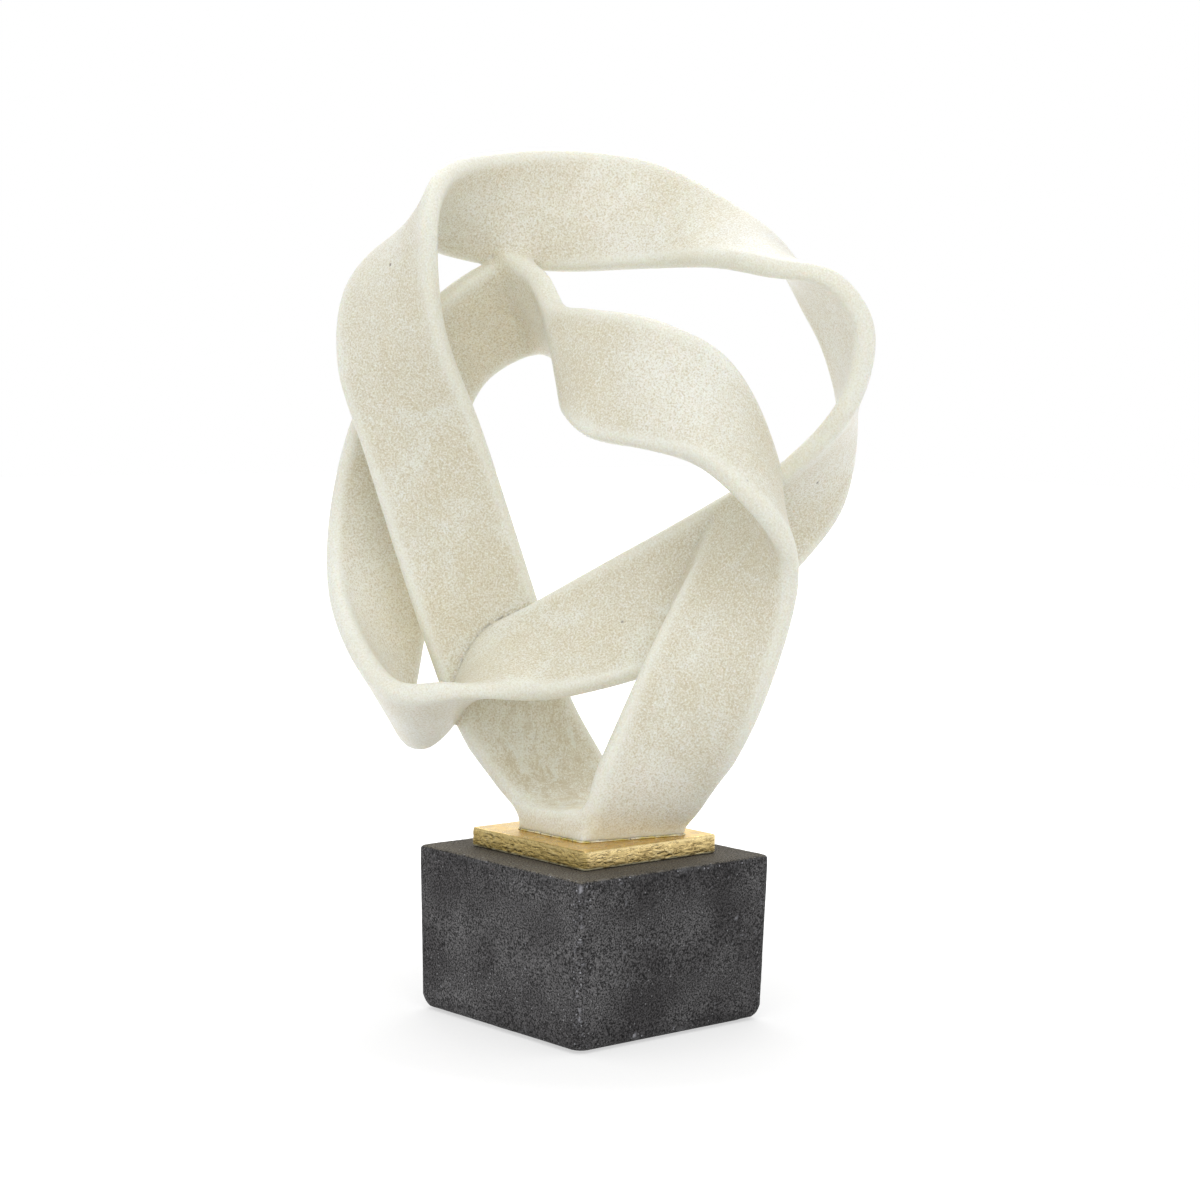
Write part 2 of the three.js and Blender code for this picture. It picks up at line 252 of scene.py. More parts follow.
def bend(mesh, voxel):
    """How the surface bends at each vertex, in 1/mm: above 0 in hollows, below 0 on ridges.

    On even squares it is four times the step to the neighbours' mean, over the square's area.
    """
    points = coordinates(mesh) / MM
    mean = mean_over(edge_ends(mesh), len(points))
    return ((mean(points) - points) * normals(mesh)).sum(1) * 4 / voxel ** 2


def softened(mesh, values, rounds):
    """Values at the vertices, evened out over their neighbours again and again."""
    mean = mean_over(edge_ends(mesh), len(values))
    for _ in range(rounds):
        values = (values + mean(values)) / 2
    return values


def ease(mesh, share, rounds, hollows=False):
    """Draws each vertex towards its neighbours by its own share, or only outward in hollows."""
    a, b = edge_ends(mesh)
    touched = (share[a] > 0) | (share[b] > 0)
    ids, ends = np.unique(np.stack([a[touched], b[touched]]), return_inverse=True)
    mean = mean_over(ends.reshape(2, -1), len(ids))
    points = coordinates(mesh)
    part, outward, share = points[ids], normals(mesh)[ids], share[ids, None]
    for _ in range(rounds):
        step = mean(part) - part
        if hollows:
            step = outward * np.maximum((step * outward).sum(1, keepdims=True), 0)
        part += step * share
    points[ids] = part
    move_points(mesh, points)


def keep(mesh, name, values):
    """Stores one number at each vertex, for the materials."""
    attribute = mesh.attributes.new(name, "FLOAT", "POINT")
    attribute.data.foreach_set("value", values)


def clamped(values):
    return np.clip(values, 0, 1)


def noise_at(points, height, size, seed):
    """Smooth noise, about as high and as low as height, with features of the given size."""
    shifted = points / size + [seed, seed * 1.7, seed * 2.3]
    return height * np.array([noise.noise(p) for p in shifted.tolist()])


def folds_at(points, height, size, seed):
    """The height along the crests of folds, and evenly less to both sides of them."""
    return height * (1 - FOLD_STEEPNESS * np.abs(noise_at(points, 1.0, size, seed)))


# Lines of points

def along_line(points):
    """How far along a line of points each of them lies."""
    return np.concatenate([[0], np.cumsum(np.linalg.norm(np.diff(points, axis=0), axis=1))])


def even_steps(along, spacing):
    """Distances along a closed line, about as far apart as the spacing."""
    count = round(along[-1] / spacing)
    return np.arange(count) * along[-1] / count


def on_line(points, along, wanted):
    """The places at the wanted distances along a line of points."""
    return np.stack([np.interp(wanted, along, column) for column in points.T], 1)


# The band

def edge_control_points():
    """The band's single edge, which goes round twice, through both ends of every station."""
    table = np.array(STATIONS, float)
    middle = table[:, :3] + [0, 0, SEAT_HEIGHT]
    turn, tilt = np.radians(table[:, 3]), np.radians(table[:, 4])
    across = np.stack([np.cos(tilt) * np.cos(turn), np.cos(tilt) * np.sin(turn), np.sin(tilt)], 1)
    half = across * BAND_WIDTH * table[:, 5:] / 2
    return np.vstack([middle + half, middle - half])


def closed_spline(points, samples):
    """A closed centripetal Catmull-Rom curve, sampled evenly over its control points."""
    place = np.arange(samples) * len(points) / samples
    start = place.astype(int)
    u = (place - start)[:, None]
    p0, p1, p2, p3 = (np.roll(points, shift, 0)[start] for shift in (1, 0, -1, -2))
    d0, d1, d2 = (
        np.sqrt(np.linalg.norm(b - a, axis=1, keepdims=True))
        for a, b in ((p0, p1), (p1, p2), (p2, p3))
    )
    t1 = ((p1 - p0) / d0 - (p2 - p0) / (d0 + d1) + (p2 - p1) / d1) * d1
    t2 = ((p2 - p1) / d1 - (p3 - p1) / (d1 + d2) + (p3 - p2) / d2) * d1
    square = -3 * p1 + 3 * p2 - 2 * t1 - t2
    cube = 2 * p1 - 2 * p2 + t1 + t2
    return p1 + t1 * u + square * u ** 2 + cube * u ** 3


def band_edges():
    """Pairs of edge points across the band, evenly spaced along its middle, once round."""
    samples = len(STATIONS) * SAMPLES_PER_STATION
    edge = closed_spline(edge_control_points(), 2 * samples)
    for _ in range(FAIRING_PASSES):
        edge = (np.roll(edge, 1, 0) + 2 * edge + np.roll(edge, -1, 0)) / 4
    near = np.vstack([edge[:samples], edge[samples:samples + 1]])
    far = np.vstack([edge[samples:], edge[:1]])
    along = along_line((near + far) / 2)
    wanted = even_steps(along, RING_SPACING)
    return on_line(near, along, wanted), on_line(far, along, wanted)


def band_mesh():
    """The band as one closed tube of rings, whose last ring joins the first one turned over."""
    near, far = band_edges()
    middle = (near + far) / 2
    across = near - far
    width = np.linalg.norm(across, axis=1, keepdims=True)
    across /= width
    tangent = np.roll(middle, -1, 0) - np.roll(middle, 1, 0)
    through = np.cross(tangent, across)
    through /= np.linalg.norm(through, axis=1, keepdims=True)
    radius = BAND_THICKNESS / 2
    flat = width / 2 - radius
    power = EDGE_SQUARENESS
    columns = []
    for side in (1, -1):
        for k in range(POINTS_PER_ROUND):
            angle = (k / (POINTS_PER_ROUND - 1) - 0.5) * math.pi
            c, s = math.cos(angle), math.sin(angle)
            size = (abs(c) ** power + abs(s) ** power) ** (-1 / power)
            u, v = flat + radius * size * c, radius * size * s
            columns.append(middle + side * (across * u + through * v))
        for k in range(1, POINTS_PER_FACE + 1):
            u = flat * (1 - 2 * k / (POINTS_PER_FACE + 1))
            columns.append(middle + side * (across * u + through * radius))
    total, count = len(middle), len(columns)
    faces = []
    for i in range(total):
        turned = count // 2 if i == total - 1 else 0
        after = (i + 1) % total
        for j in range(count):
            a, b = i * count + j, i * count + (j + 1) % count
            c = after * count + (j + 1 + turned) % count
            d = after * count + (j + turned) % count
            faces.append((a, b, c, d))
    return np.stack(columns, 1).reshape(-1, 3), faces


def ring_round(x, y, z, radius, sides):
    """Points on a level circle."""
    angles = [2 * math.pi * k / sides for k in range(sides)]
    return [(x + radius * math.cos(a), y + radius * math.sin(a), z) for a in angles]


def hull_mesh(points):
    """The tightest closed skin round the points."""
    skin = bmesh.new()
    for point in points:
        skin.verts.new(point)
    hull = bmesh.ops.convex_hull(skin, input=skin.verts)
    inner = [item for item in hull["geom_interior"] if isinstance(item, bmesh.types.BMVert)]
    bmesh.ops.delete(skin, geom=inner, context="VERTS")
    skin.verts.index_update()
    outer = np.array([vertex.co[:] for vertex in skin.verts])
    faces = [tuple(vertex.index for vertex in face.verts) for face in skin.faces]
    skin.free()
    return outer, faces


def foot_mesh():
    """The low block under the band's lowest bend, round a leaning post at each corner."""
    points = []
    for x, y, lean_x, lean_y in FOOT_CORNERS:
        for up in (0, FOOT_HEIGHT):
            points += ring_round(x + lean_x * up, y + lean_y * up, SEAT_HEIGHT + up,
                                 FOOT_CORNER_RADIUS, FOOT_CORNER_SIDES)
    return hull_mesh(points)


def web_mesh(middles):
    """The skin round small balls at the middles."""
    points = []
    for x, y, z in middles:
        points += ring_round(x, y, z, WEB_RADIUS, WEB_SIDES)
        points += [(x, y, z - WEB_RADIUS), (x, y, z + WEB_RADIUS)]
    return hull_mesh(points)


def foot_share(mesh):
    """The sides of the foot and the lowest part of the arms, but not the sole or the trough."""
    points, outward = coordinates(mesh), normals(mesh)
    height = points[:, 2] / MM - SEAT_HEIGHT
    fade_below, fade_above = FOOT_BLEND_FADES
    low = clamped((height - FOOT_BLEND_FROM) / fade_below)
    high = clamped((FOOT_BLEND_TO - height) / fade_above)
    sideways = clamped((FOOT_BLEND_UPWARD - outward[:, 2]) / FOOT_BLEND_UPWARD_FADE)
    return low * high * sideways * FOOT_BLEND_SHARE


def cast_loop():
    """The band, its foot and its webs fused into one casting, with soft hollows between them."""
    points, faces = band_mesh()
    webs = [web_mesh(middles) for middles in (FRONT_WEB, SADDLE_WEB, UNDER_WEB)]
    for more_points, more_faces in [foot_mesh()] + webs:
        faces += [tuple(i + len(points) for i in face) for face in more_faces]
        points = np.vstack([points, more_points])
    skins = new_mesh("quartz", points, faces)
    skins.validate()
    loop = remeshed(new_object("quartz", skins), "quartz_band", LOOP_VOXEL, LOOP_SMOOTHING)
    mesh = loop.data
    ease(mesh, foot_share(mesh), FOOT_BLEND_ROUNDS)
    for place, reach, rounds in FILLETS:
        away = np.linalg.norm(coordinates(mesh) / MM - place, axis=1)
        share = clamped(2 - 2 * away / reach)
        for _ in range(rounds // FILLET_BATCH):
            ease(mesh, share, FILLET_BATCH, hollows=True)
    bent = bend(mesh, LOOP_VOXEL)
    for name, rounds in BEND_ROUNDS.items():
        keep(mesh, name, softened(mesh, bent, rounds))
    return loop


# The gilded plate: a finer skin on the same slab, whose leaf is crumpled round the sides

PLATE_VOXEL = 0.55
PLATE_SMOOTHING = 3
LEAF_WRINKLE = 0.36
LEAF_SINK = 0.5  # the wrinkled leaf lies lower by this share of a wrinkle
LEAF_SIDE_BAND = 3.0  # only this outermost strip counts as a side
LEAF_SIDE_GAIN, LEAF_SIDE_LOSS = 1.6, 0.3  # how sharply the sides begin at the rounded edges
LEAF_LOW_FADE = 1.0  # the leaf lies still at the very bottom, where the plate meets the block
LONG_WRINKLES = [0.25, 0.25, 1.0]  # long along the sides, and tight up and down
LONG_PATCHES = [0.6, 0.6, 1]
PATCH_LEVEL, PATCH_LEAST = 0.5, 0.15  # how wrinkled the leaf is on the whole, and at the least
FOLD_STEEPNESS = 3

# Noises: height, size in millimetres, seed
LEAF_FOLDS = 0.6, 1.5, 3.1
LEAF_CREASES = 0.4, 0.9, 7.7
LEAF_PATCHES = 1.2, 7.0, 12.1
LEAF_SWELL = 0.20, 9.0, 1.3
LEAF_GRAIN = 0.05, 1.1, 5.9
LEAF_DENTS = 0.08, 6.0, 2.2


def gilded_plate():
    """The plate, whose leaf is wrinkled round its sides and nearly smooth on top."""
    plate = remeshed(copy_of_node("gilded_plate"), "leafed_plate", PLATE_VOXEL, PLATE_SMOOTHING)
    mesh = plate.data
    points, outward = coordinates(mesh) / MM, normals(mesh)
    low, high = points.min(0), points.max(0)
    centre, half = (low + high) / 2, (high - low) / 2
    rim = np.abs(points - centre)[:, :2].max(1) > half[0] - LEAF_SIDE_BAND
    side = clamped(np.abs(outward[:, :2]).max(1) * LEAF_SIDE_GAIN - LEAF_SIDE_LOSS) * rim
    along = points * LONG_WRINKLES
    folds = folds_at(along, *LEAF_FOLDS) + folds_at(along, *LEAF_CREASES)
    patches = PATCH_LEVEL + noise_at(points * LONG_PATCHES, *LEAF_PATCHES)
    wrinkle = LEAF_WRINKLE * folds * np.clip(patches, PATCH_LEAST, 1)
    crumpled = wrinkle + noise_at(points, *LEAF_SWELL) - LEAF_WRINKLE * LEAF_SINK
    flat = noise_at(points, *LEAF_GRAIN) + noise_at(points, *LEAF_DENTS)
    free = clamped((points[:, 2] - low[2]) / LEAF_LOW_FADE)
    move = side * free * crumpled + (1 - side) * flat * free
    moved = points + outward * move[:, None]
    move_points(mesh, moved * MM)
    keep(mesh, "hollow", -wrinkle * side)
    keep(mesh, "side", side)
    keep(mesh, "up", (moved[:, 2] - low[2]) / (high[2] - low[2]))
    return plate


# The block: a finer skin with chips along its edges and pits in its faces

BLOCK_VOXEL = 1.0
BLOCK_SMOOTHING = 4
BLOCK_TAPER = 2.0 / 92.5  # how much each side comes in for each millimetre down
CORNER_REACH = 7.0
CORNER_ROUNDS = 40
TOP_SHARE = 0.12  # the top corners are rounded by this share of what the bottom ones are
MID_HEIGHT = 50.0
OUTER_FROM, OUTER_FADE = 60.0, 4.0  # beyond this along X or Y is the block's outer skin
ARRIS, ARRIS_FADE = 62.0, 3.0  # the worn front edge lies beyond this, low in both X and Y
CHIP_SIZE = 3.0
CHIP_DEPTH = 0.8
CHIP_LEVEL = 0.85  # higher is fewer chips
CHIP_STEEPNESS = 3
ARRIS_CHIPS = 0.40  # how much lower that level is along the worn front edge
LARGE_CHIP_FILL, LARGE_CHIP_CRUMBLE = 1.6, 1.5  # how full they are, and how ragged
CHIPS = [
    # place in mm and reach of the larger chips
    ((-70, -70, 90), 3.0),
    ((-28, -69, 5), 1.6),
]
PIT_DEPTH = 0.5
PIT_LEVEL = 0.66  # higher is fewer pits
PIT_STEEPNESS = 6
PIT_PALENESS = 0.5  # of that of a chip
RIDGE_WEAR = 0.15
RIDGE_GAIN = 6
RIDGE_ROUNDS = 3

# Noises: height, size in millimetres, seed
CRUMBLE = 1.0, CHIP_SIZE, 11.3
FINE_CRUMBLE = 0.5, CHIP_SIZE / 2.5, 4.4
PITS = 1.0, 3.0, 21.0
FINE_ROUGHNESS = 0.08, 2.4, 9.1
WIDE_ROUGHNESS = 0.14, 14.0, 6.2


def ways_in(points, low, high):
    """How far in each point is from the sides, the top and the bottom."""
    width = high[0] - (high[2] - points[:, 2]) * BLOCK_TAPER
    return np.stack([width - np.abs(points[:, 0]), width - np.abs(points[:, 1]),
                     high[2] - points[:, 2], points[:, 2] - low[2]], 1)


def stone_block():
    """The block with rounded corners, chipped edges and pitted, slightly uneven faces."""
    block = remeshed(copy_of_node("base_block"), "rough_block", BLOCK_VOXEL, BLOCK_SMOOTHING)
    mesh = block.data
    points = coordinates(mesh) / MM
    low, high = points.min(0), points.max(0)
    corner = clamped(1 - np.sort(ways_in(points, low, high), 1)[:, 2] / CORNER_REACH)
    ease(mesh, corner * np.where(points[:, 2] > MID_HEIGHT, TOP_SHARE, 1.0), CORNER_ROUNDS)
    points, outward = coordinates(mesh) / MM, normals(mesh)
    ridge = clamped(-softened(mesh, bend(mesh, BLOCK_VOXEL), RIDGE_ROUNDS) * RIDGE_GAIN)
    outer = clamped((np.abs(points[:, :2]).max(1) - OUTER_FROM) / OUTER_FADE)
    arris = clamped((-points[:, :2].max(1) - ARRIS) / ARRIS_FADE)
    crumble = noise_at(points, *CRUMBLE) + noise_at(points, *FINE_CRUMBLE)
    loose = crumble - CHIP_LEVEL + ARRIS_CHIPS * arris
    wear = clamped(loose * CHIP_STEEPNESS) * ridge * outer
    for middle, reach in CHIPS:
        away = np.linalg.norm(points - middle, axis=1)
        chip = LARGE_CHIP_FILL - 2 * away / reach + LARGE_CHIP_CRUMBLE * crumble
        wear = np.maximum(wear, clamped(chip))
    pit = clamped((noise_at(points, *PITS) - PIT_LEVEL) * PIT_STEEPNESS) * outer
    rough = noise_at(points, *FINE_ROUGHNESS) + noise_at(points, *WIDE_ROUGHNESS)
    move = rough * outer - CHIP_DEPTH * wear - PIT_DEPTH * pit - RIDGE_WEAR * ridge * outer
    moved = np.clip(points + outward * move[:, None], low, high)
    move_points(mesh, moved * MM)
    keep(mesh, "chip", clamped(wear + PIT_PALENESS * pit))
    keep(mesh, "ridge", ridge * outer)
    keep(mesh, "inset", np.sort(ways_in(points, low, high), 1)[:, 1])
    return block


# The glue that shows in a thin uneven line round the foot

GLUE_RADIUS = 0.75
GLUE_SHARE = 0.75  # of that radius, on the whole
GLUE_RADIUS_LIMITS = 0.3, 1.3
GLUE_OUT, GLUE_WIDTH = 0.2, 1.1  # the bead's middle and half width, per radius
GLUE_UP, GLUE_RISE = 0.1, 0.9  # its middle and half height, per radius
GLUE_STEP = 1.0
GLUE_SIDES = 8
GLUE_CORNER_STEPS = 4  # on each side of a corner, over an eighth of a turn
GLUE_LOWEST = -0.2  # the bead reaches this far down into the plate

# Noises: height, size in millimetres, seed
GLUE_LUMPS = 0.5, 5.0, 2.0
GLUE_BEADS = 0.3, 1.8, 8.0
GLUE_WAVES = 0.25, 7.0, 4.0


def foot_outline():
    """Points round the foot where it stands on the plate, evenly spaced."""
    posts = np.array([corner[:2] for corner in FOOT_CORNERS])
    centre = posts.mean(0)
    ring = []
    for x, y in posts:
        outward = math.atan2(y - centre[1], x - centre[0])
        for k in range(-GLUE_CORNER_STEPS, GLUE_CORNER_STEPS + 1):
            angle = outward + k * math.pi / 4 / GLUE_CORNER_STEPS
            reach = FOOT_CORNER_RADIUS * np.array([math.cos(angle), math.sin(angle)])
            ring.append(np.array([x, y]) + reach)
    closed = np.array(ring + ring[:1])
    along = along_line(closed)
    return on_line(closed, along, even_steps(along, GLUE_STEP))


def glue_line():
    """An uneven bead of glue round the foot's outline, flattened against the plate."""
    outline = foot_outline()
    count = len(outline)
    tangent = np.roll(outline, -1, 0) - np.roll(outline, 1, 0)
    tangent /= np.linalg.norm(tangent, axis=1, keepdims=True)
    out = np.stack([tangent[:, 1], -tangent[:, 0]], 1)
    ground = np.column_stack([outline, np.full(count, SEAT_HEIGHT)])
    uneven = noise_at(ground, *GLUE_LUMPS) + noise_at(ground, *GLUE_BEADS)
    size = np.clip(GLUE_RADIUS * (GLUE_SHARE + uneven), *GLUE_RADIUS_LIMITS)
    sway = noise_at(ground, *GLUE_WAVES)
    rings = []
    for k in range(GLUE_SIDES):
        angle = 2 * math.pi * k / GLUE_SIDES
        reach = sway + size * (GLUE_OUT + GLUE_WIDTH * math.cos(angle))
        height = np.maximum(size * (GLUE_UP + GLUE_RISE * math.sin(angle)), GLUE_LOWEST)
        rings.append(np.column_stack([outline + out * reach[:, None], SEAT_HEIGHT + height]))
    points = np.stack(rings, 1).reshape(-1, 3)
    faces = []
    for i in range(count):
        here, after = i * GLUE_SIDES, (i + 1) % count * GLUE_SIDES
        for j in range(GLUE_SIDES):
            k = (j + 1) % GLUE_SIDES
            faces.append((here + j, after + j, after + k, here + k))
    mesh = new_mesh("glue", points, faces)
    shade_smooth(mesh)
    return new_object("glue_line", mesh)


# Materials: each is a tree of nodes in the object's own coordinates

def add(tree, kind, inputs=None, **settings):
    """A node with its settings, whose inputs are numbers, colours or outputs of other nodes."""
    node = tree.nodes.new(kind)
    for key, value in settings.items():
        setattr(node, key, value)
    for key, value in (inputs or {}).items():
        if isinstance(value, bpy.types.NodeSocket):
            tree.links.new(value, node.inputs[key])
        else:
            node.inputs[key].default_value = value
    return node


def new_material(name):
    """A material, its tree of nodes and its shader."""
    material = bpy.data.materials.new(name)
    material.use_nodes = True
    tree = material.node_tree
    tree.nodes.clear()
    shader = add(tree, "ShaderNodeBsdfPrincipled")
    add(tree, "ShaderNodeOutputMaterial", {0: shader.outputs[0]})
    return material, tree, shader


def set_shader(tree, shader, **inputs):
    """Sets the shader's inputs, named with _ for a space, to values or outputs of nodes."""
    for key, value in inputs.items():
        socket = shader.inputs[key.replace("_", " ")]
        if isinstance(value, bpy.types.NodeSocket):
            tree.links.new(value, socket)
        else:
            socket.default_value = value


def place_in(tree, stretch=(1, 1, 1)):
    """Where on the object a point is, in metres, with more features along a stretched axis."""
    place = add(tree, "ShaderNodeTexCoord").outputs["Object"]
    return add(tree, "ShaderNodeMapping", {"Vector": place, "Scale": stretch}).outputs[0]


def axes_of(tree, vector):
    return add(tree, "ShaderNodeSeparateXYZ", {0: vector}).outputs


def clouds(tree, place, size, detail=2.0, roughness=0.5, distortion=0.0):
    """Noise between 0 and 1, with features about as large as size, in metres."""
    return add(tree, "ShaderNodeTexNoise", {
        "Vector": place, "Scale": 1 / size, "Detail": detail, "Roughness": roughness,
        "Distortion": distortion,
    }).outputs[0]


def cells(tree, place, size):
    """Distance to the nearest of scattered points, and three random numbers for that point."""
    node = add(tree, "ShaderNodeTexVoronoi", {"Vector": place, "Scale": 1 / size})
    chances = add(tree, "ShaderNodeSeparateColor", {0: node.outputs["Color"]})
    return node.outputs["Distance"], chances.outputs


def span(tree, value, start, end, low, high):
    """low up to start, high from end on, and a straight change between them."""
    inputs = {0: value, 1: start, 2: end, 3: low, 4: high}
    return add(tree, "ShaderNodeMapRange", inputs).outputs[0]


def fade(tree, value, none, full):
    """0 where the value is none, 1 where it is full, and a straight change between them."""
    return span(tree, value, none, full, 0.0, 1.0)


def around(tree, place, middle, reach, core):
    """1 within a core of a middle, and 0 beyond the reach. The core is a share of the reach."""
    middle = tuple(value * MM for value in middle)
    node = add(tree, "ShaderNodeVectorMath", {0: place, 1: middle}, operation="DISTANCE")
    return fade(tree, node.outputs["Value"], reach * MM, reach * MM * core)


def maths(tree, operation, a, b=0.0):
    return add(tree, "ShaderNodeMath", {0: a, 1: b}, operation=operation).outputs[0]


def times(tree, *factors):
    """The product of any number of values."""
    product = factors[0]
    for factor in factors[1:]:
        product = maths(tree, "MULTIPLY", product, factor)
    return product


def mixed(tree, share, a, b, kind="MIX"):
    """Colour a where the share is 0, and colour b where it is 1."""
    a, b = (c if isinstance(c, bpy.types.NodeSocket) else (*c, 1) for c in (a, b))
    node = add(tree, "ShaderNodeMix", {0: share, 6: a, 7: b}, data_type="RGBA", blend_type=kind)
    return node.outputs[2]


def layer(tree, colour, tone, *masks, share=None):
    """The colour with a tone laid over it, where all the masks are, and no thicker than share."""
    factors = masks if share is None else (*masks, share)
    return mixed(tree, times(tree, *factors), colour, tone)


def shaded(tree, colour, tone):
    """The colour made lighter or darker by a number."""
    grey = add(tree, "ShaderNodeCombineColor", {0: tone, 1: tone, 2: tone}).outputs[0]
    return mixed(tree, 1.0, colour, grey, "MULTIPLY")


def stored(tree, name):
    """A number that was kept at each vertex."""
    return add(tree, "ShaderNodeAttribute", attribute_name=name).outputs["Fac"]


def bump(tree, height, distance, strength=1.0, under=None):
    """A normal tilted by a height of the given distance, in metres, over the normal under it."""
    inputs = {"Height": height, "Distance": distance, "Strength": strength}
    if under is not None:
        inputs["Normal"] = under
    return add(tree, "ShaderNodeBump", inputs).outputs[0]


# Quartz: a warm ivory casting with painted highlights on its rims, browner hollows, patches of
# painted light and shade, and a fine grain

IVORY = (0.698, 0.654, 0.502)
CREAM = (0.732, 0.710, 0.588)
RIM_HIGHLIGHT = (0.840, 0.860, 0.800)
VEIL = (0.806, 0.822, 0.742)
FLECK = (0.895, 0.905, 0.855)
TAN = (0.560, 0.485, 0.315)
SPECK = (0.160, 0.120, 0.090)
SEAM_DIRT = (0.200, 0.180, 0.130)
# the next four are colours of painted light and shade, for the patches below
WARM_PAINTED_LIGHT = (0.860, 0.790, 0.580)
PAINTED_LIGHT_PALE = (0.860, 0.835, 0.740)
PAINTED_SHADE_GREY = (0.580, 0.590, 0.560)
PAINTED_LIGHT_WHITE = (0.860, 0.880, 0.840)

# Clouds: size in metres, detail, roughness, distortion
QUARTZ_DRIFT = 0.060, 3.0, 0.55
QUARTZ_MOTTLE = 0.012, 4.0, 0.65
QUARTZ_VEIL = 0.040, 8.0, 0.66, 0.7
QUARTZ_GRAIN = 0.0010, 2.0, 0.6
QUARTZ_STREAKS = 0.007, 5.0, 0.6, 0.8
SEAM_GAPS = 0.0025, 4.0, 0.7
UPRIGHT = (1, 1, 0.22)  # stretches the streaks up and down

# Cells: size in metres
QUARTZ_CRUMB = 0.0012
QUARTZ_SPECKS = 0.028

TONES_AND_PAINTED_LIGHT = [
    # patches, most of them painted light and shade, where the stone is painted paler, warmer or
    # browner: place in mm, reach, share, colour
    ((-2, -65, 356), 50, 0.50, PAINTED_LIGHT_WHITE),  # front of the saddle, painted highlight
    ((15, 62, 453), 62, 0.40, PAINTED_LIGHT_PALE),  # top arch, painted light
    ((43, 26, 427), 36, 0.50, PAINTED_LIGHT_WHITE),  # top arch, right half, painted light
    ((88, -36, 437), 34, 0.60, PAINTED_SHADE_GREY),  # top arch, right end, painted shade
    ((-84, 118, 240), 60, 0.50, PAINTED_LIGHT_WHITE),  # back band, low, painted light
    ((104, -88, 378), 42, 0.40, PAINTED_LIGHT_WHITE),  # right-hand turn, painted light
    ((-8, -42, 129), 40, 0.55, PAINTED_LIGHT_PALE),  # front arm, low, painted light
    ((-33, 9, 112), 28, 0.35, PAINTED_LIGHT_WHITE),  # foot, painted light
    ((0, 74, 405), 17, 0.55, PAINTED_LIGHT_WHITE),  # under the saddle, painted light
    ((10, 66, 388), 26, 0.60, PAINTED_LIGHT_WHITE),  # under the saddle, lower, painted light
    ((24, -66, 215), 26, 0.25, PAINTED_LIGHT_WHITE),  # front arm, half way up, painted light
    ((0, 95, 388), 50, 0.50, WARM_PAINTED_LIGHT),  # back band, where it meets the top arch, warm painted light in the shade
    ((-53, 112, 220), 50, 0.40, WARM_PAINTED_LIGHT),  # back band, low, warm painted light in the shade
    ((-25, 0, 358), 24, 0.35, TAN),  # left side of the saddle, painted shade
    ((38, -79, 247), 36, 0.25, TAN),  # front arm, in the middle, painted shade
    ((36, -34, 252), 26, 0.35, TAN),  # cross arm, beside the front arm, painted shade
    ((0, 19, 125), 26, 0.45, TAN),  # trough over the foot, darker
]
PATCH_CORE = 0.3
TROUGH_PLACE, TROUGH_REACH, TROUGH_CORE = (0, 20, 135), 75, 0.5
SEAM_PLACE, SEAM_REACH, SEAM_CORE = (-45, 35, 222), 60, 0.6


